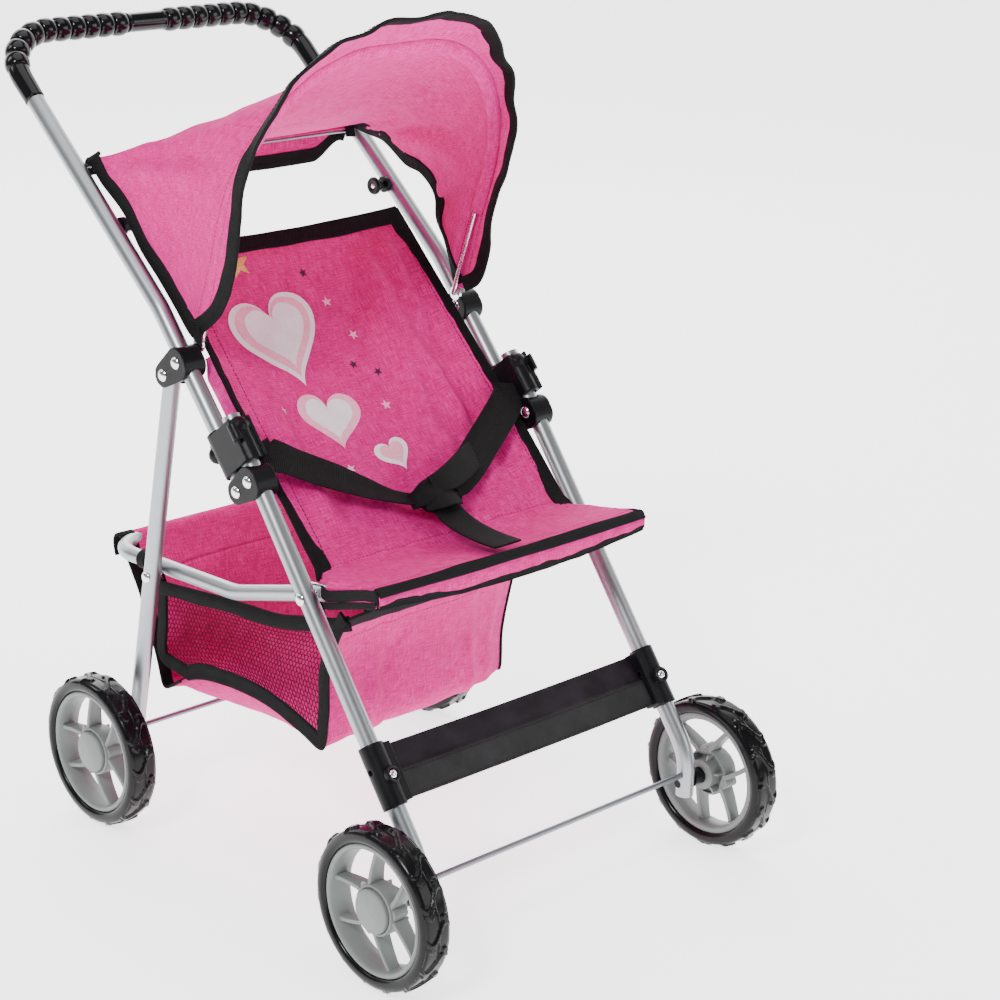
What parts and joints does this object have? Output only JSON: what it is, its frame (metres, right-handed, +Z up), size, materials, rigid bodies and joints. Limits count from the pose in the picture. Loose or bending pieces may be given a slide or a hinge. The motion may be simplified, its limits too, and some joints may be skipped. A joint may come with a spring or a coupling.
{
  "type": "doll stroller",
  "caption": "Folding doll stroller with a tube frame, curved push handle with beaded grip, sling seat, tilting hood, hung basket and spoked wheels.",
  "frame": {"origin": "on the floor, at the middle of the footprint", "axes": "+Z up, the child in the seat faces -Y, the pusher stands at +Y, X runs across"},
  "size_m": [0.335, 0.5196, 0.5834],
  "materials": {
    "tube": "satin silver tube",
    "bright_steel": "bright zinc rivets and wire",
    "black_plastic": "smooth black moulded plastic",
    "grip": "glossy black moulded beads",
    "pink_cloth": "heathered bright pink plain weave",
    "black_webbing": "black ribbed webbing",
    "black_band": "smooth black strip with a sewn edge",
    "tyre": "glossy black moulded tyre",
    "rim": "mid grey moulded plastic"
  },
  "bodies": {
    "front_frame": {"front_leg_left": "tube", "front_leg_right": "tube", "footrest_sleeve_left": "black_plastic", "footrest_sleeve_right": "black_plastic", "footrest_band": "black_band", "footrest_screws": "bright_steel", "front_cross_rod": "bright_steel", "hinge_bracket_left": "black_plastic", "hinge_bracket_right": "black_plastic", "hinge_rivets": "bright_steel", "seat_front_wire": "bright_steel", "seat_base": "pink_cloth", "seat_back_lower": "pink_cloth", "waist_strap_left": "black_webbing", "waist_strap_right": "black_webbing", "crotch_strap": "black_webbing", "strap_loop": "black_plastic", "front_axles": "black_plastic"},
    "handle": {"handle_tube": "tube", "grip_left": "grip", "grip_right": "grip", "grip_middle": "grip", "upper_bracket_left": "black_plastic", "upper_bracket_right": "black_plastic", "bracket_rivets": "bright_steel", "canopy_rod": "bright_steel", "canopy_roof": "pink_cloth", "canopy_back_flap": "pink_cloth", "seat_back": "pink_cloth", "seat_studs": "black_plastic"},
    "hood_bow": {"canopy_bow": "bright_steel", "canopy_visor": "pink_cloth"},
    "lock_left": {"lock_left": "black_plastic"},
    "lock_right": {"lock_right": "black_plastic"},
    "basket_arm": {"basket_frame": "tube", "basket_pivots": "bright_steel", "basket": "pink_cloth"},
    "rear_legs": {"rear_leg_left": "tube", "rear_leg_right": "tube", "rear_cross_rod": "bright_steel", "rear_axles": "black_plastic", "leg_rivets": "bright_steel"},
    "wheel_front_left": {"tyre_front_left": "tyre", "rim_front_left": "rim", "cap_front_left": "rim"},
    "wheel_front_right": {"tyre_front_right": "tyre", "rim_front_right": "rim", "cap_front_right": "rim"},
    "wheel_rear_left": {"tyre_rear_left": "tyre", "rim_rear_left": "rim", "cap_rear_left": "rim"},
    "wheel_rear_right": {"tyre_rear_right": "tyre", "rim_rear_right": "rim", "cap_rear_right": "rim"}
  },
  "joints": [
    {"name": "fold", "type": "hinge", "parent": "front_frame", "child": "handle", "pos_m": [0, -0.0296, 0.2792], "axis": [-1, 0, 0], "range_deg": [0, 125]},
    {"name": "basket_fold", "type": "hinge", "parent": "front_frame", "child": "basket_arm", "pos_m": [0, -0.0932, 0.2227], "axis": [-1, 0, 0], "range_deg": [0, 86.55], "deforming": ["basket"]},
    {"name": "rear_leg_fold", "type": "hinge", "parent": "handle", "child": "rear_legs", "pos_m": [0, 0.0493, 0.3404], "axis": [-1, 0, 0], "range_deg": [-82.87, 0]},
    {"name": "hood_tilt", "type": "hinge", "parent": "handle", "child": "hood_bow", "pos_m": [0, 0.0333, 0.362], "axis": [-1, 0, 0], "range_deg": [0, 58], "deforming": ["canopy_roof"]},
    {"name": "lock_left_slide", "type": "slide", "parent": "handle", "child": "lock_left", "axis": [0, 0.6629, 0.7487], "range_m": [0, 0.034]},
    {"name": "lock_right_slide", "type": "slide", "parent": "handle", "child": "lock_right", "axis": [0, 0.6629, 0.7487], "range_m": [0, 0.034]},
    {"name": "wheel_front_left_spin", "type": "hinge", "parent": "front_frame", "child": "wheel_front_left", "pos_m": [0.1555, -0.2048, 0.055], "axis": [1, 0, 0], "continuous": true},
    {"name": "wheel_rear_left_spin", "type": "hinge", "parent": "rear_legs", "child": "wheel_rear_left", "pos_m": [0.1555, 0.1003, 0.055], "axis": [1, 0, 0], "continuous": true},
    {"name": "wheel_front_right_spin", "type": "hinge", "parent": "front_frame", "child": "wheel_front_right", "pos_m": [-0.1555, -0.2048, 0.055], "axis": [1, 0, 0], "continuous": true},
    {"name": "wheel_rear_right_spin", "type": "hinge", "parent": "rear_legs", "child": "wheel_rear_right", "pos_m": [-0.1555, 0.1003, 0.055], "axis": [1, 0, 0], "continuous": true}
  ],
  "couplings": [
    {"joint": "basket_fold", "follows": "fold", "ratio": 0.67636},
    {"joint": "rear_leg_fold", "follows": "fold", "ratio": -0.64693}
  ]
}
